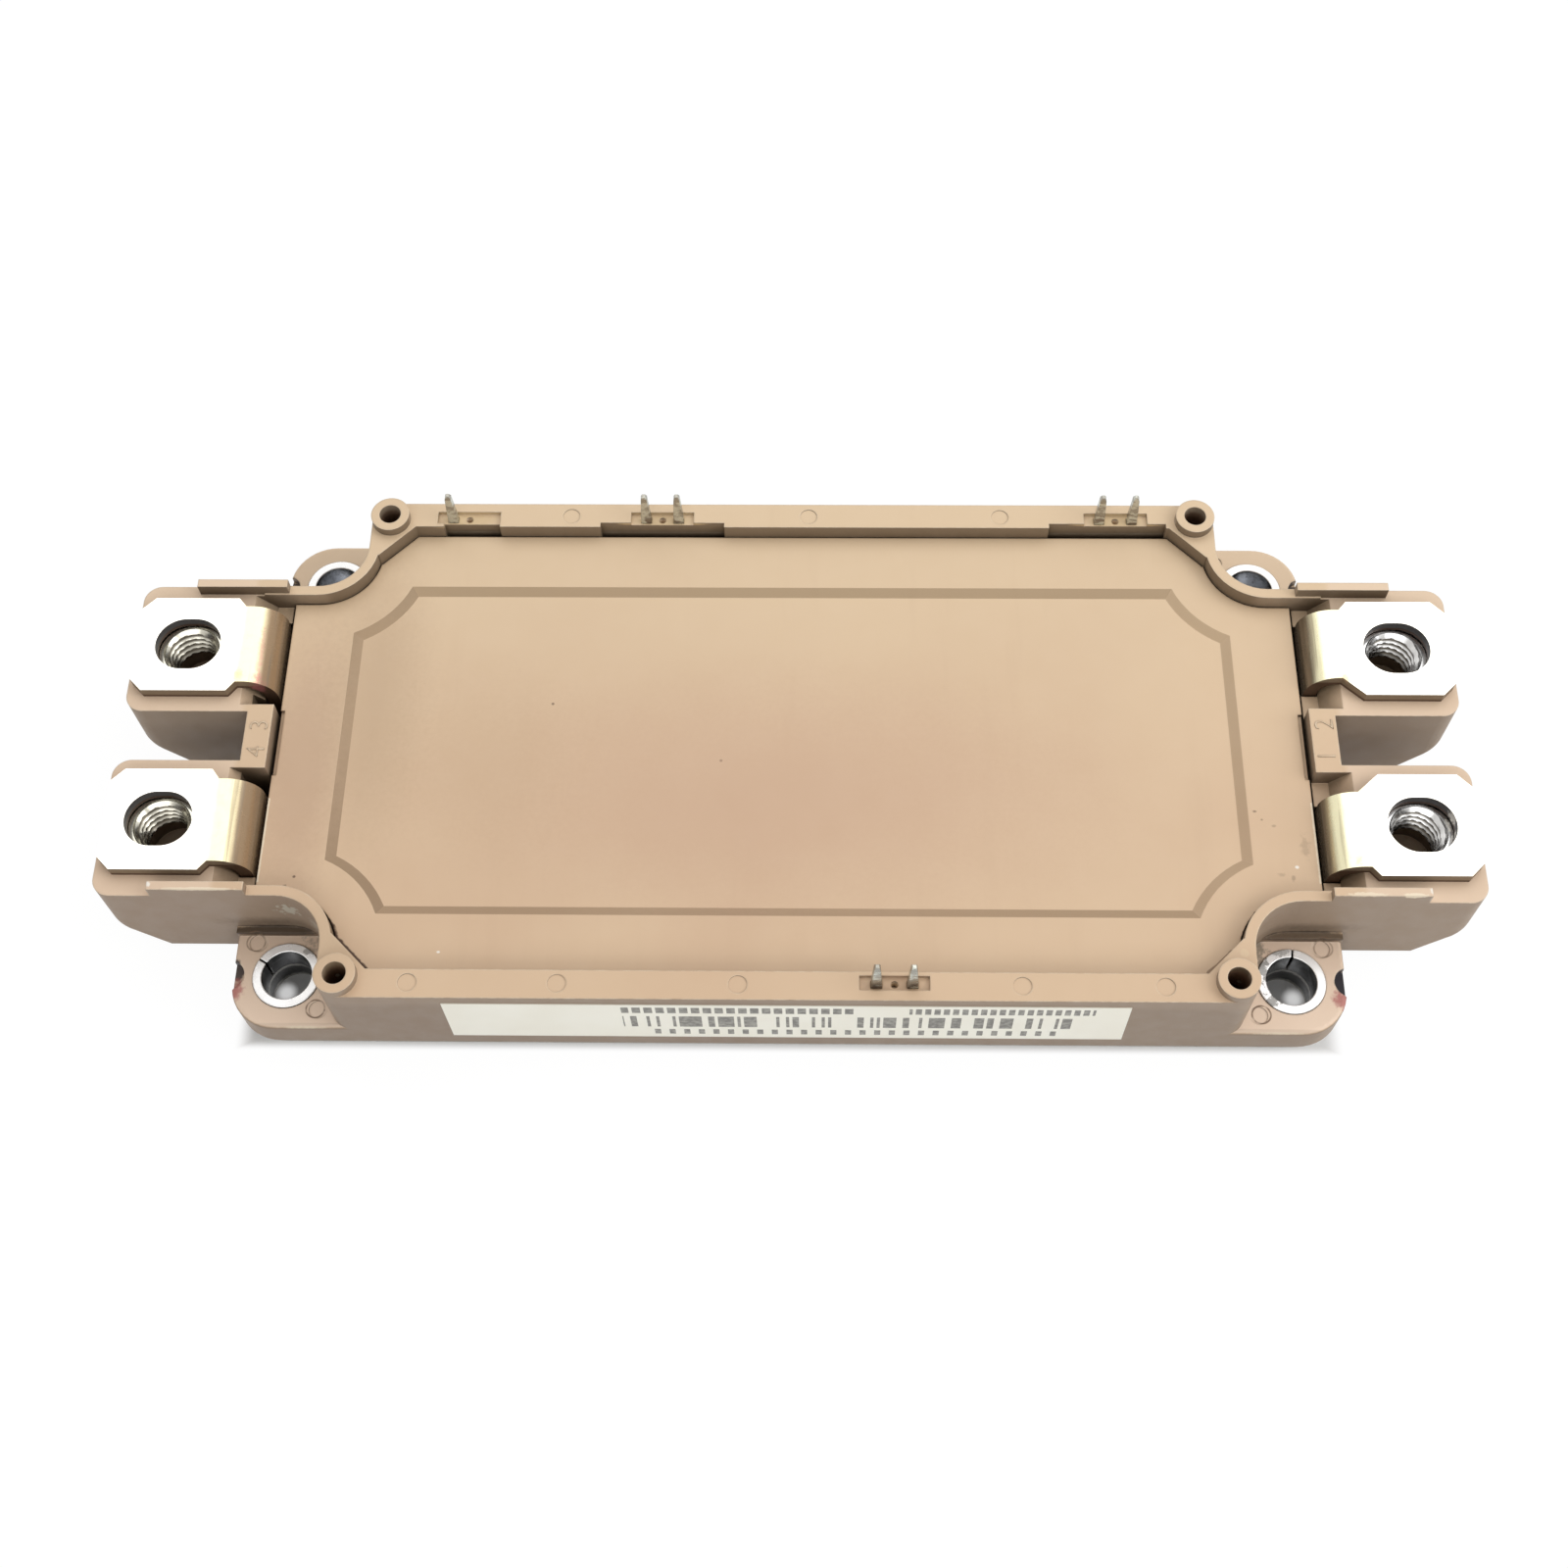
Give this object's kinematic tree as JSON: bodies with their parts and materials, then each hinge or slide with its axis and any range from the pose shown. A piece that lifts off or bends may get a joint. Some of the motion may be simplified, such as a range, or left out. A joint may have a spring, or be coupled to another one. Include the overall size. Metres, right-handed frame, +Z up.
{
  "type": "igbt module",
  "caption": "Half-bridge power semiconductor module in a flat moulded case, with screw terminals at both ends, control pins along the sides and a metal base plate.",
  "frame": {"origin": "middle of the flat cooling face under the base plate", "axes": "+X along the length, +Y across it towards the side with five control pins, +Z up, away from the cooling face"},
  "size_m": [0.15, 0.0621, 0.0205],
  "materials": {
    "case_plastic": "fine matte moulding grain",
    "lid_plastic": "fine matte moulding grain",
    "terminal_plate": "tinned copper, satin, brown tarnish on the legs",
    "nut_steel": "zinc plated, satin",
    "bush_steel": "rolled strip, bright",
    "pin_plate": "tinned, satin",
    "base_metal": "nickel-plated copper, satin",
    "label_paper": "smooth label stock",
    "track_metal": "bare copper, satin",
    "ceramic_white": "smooth ceramic",
    "chip_silicon": "polished silicon with metal top",
    "wire_aluminium": "drawn wire",
    "sensor_glass": "glass body with metal caps",
    "gel": "clear soft silicone"
  },
  "bodies": {
    "root": {"case_frame": "case_plastic", "lid": "lid_plastic", "base_plate": "base_metal", "label": "label_paper", "bush_front_left": "bush_steel", "bush_front_right": "bush_steel", "bush_rear_left": "bush_steel", "bush_rear_right": "bush_steel", "terminal_front_left": "terminal_plate", "terminal_front_right": "terminal_plate", "terminal_rear_left": "terminal_plate", "terminal_rear_right": "terminal_plate", "nut_front_left": "nut_steel", "nut_front_right": "nut_steel", "nut_rear_left": "nut_steel", "nut_rear_right": "nut_steel", "control_pin_1": "pin_plate", "control_pin_2": "pin_plate", "control_pin_3": "pin_plate", "control_pin_4": "pin_plate", "control_pin_5": "pin_plate", "control_pin_6": "pin_plate", "control_pin_7": "pin_plate", "backing_copper_left": "track_metal", "backing_copper_middle": "track_metal", "backing_copper_right": "track_metal", "ceramic_left": "ceramic_white", "ceramic_middle": "ceramic_white", "ceramic_right": "ceramic_white", "track_copper_left": "track_metal", "track_copper_middle": "track_metal", "track_copper_right": "track_metal", "igbt_chips_left": "chip_silicon", "igbt_chips_middle": "chip_silicon", "igbt_chips_right": "chip_silicon", "diode_chips_left": "chip_silicon", "diode_chips_middle": "chip_silicon", "diode_chips_right": "chip_silicon", "bond_wires_left": "wire_aluminium", "bond_wires_middle": "wire_aluminium", "bond_wires_right": "wire_aluminium", "link_wires": "wire_aluminium", "signal_wires": "wire_aluminium", "thermistor": "sensor_glass", "gel_filling": "gel"}
  },
  "joints": []
}
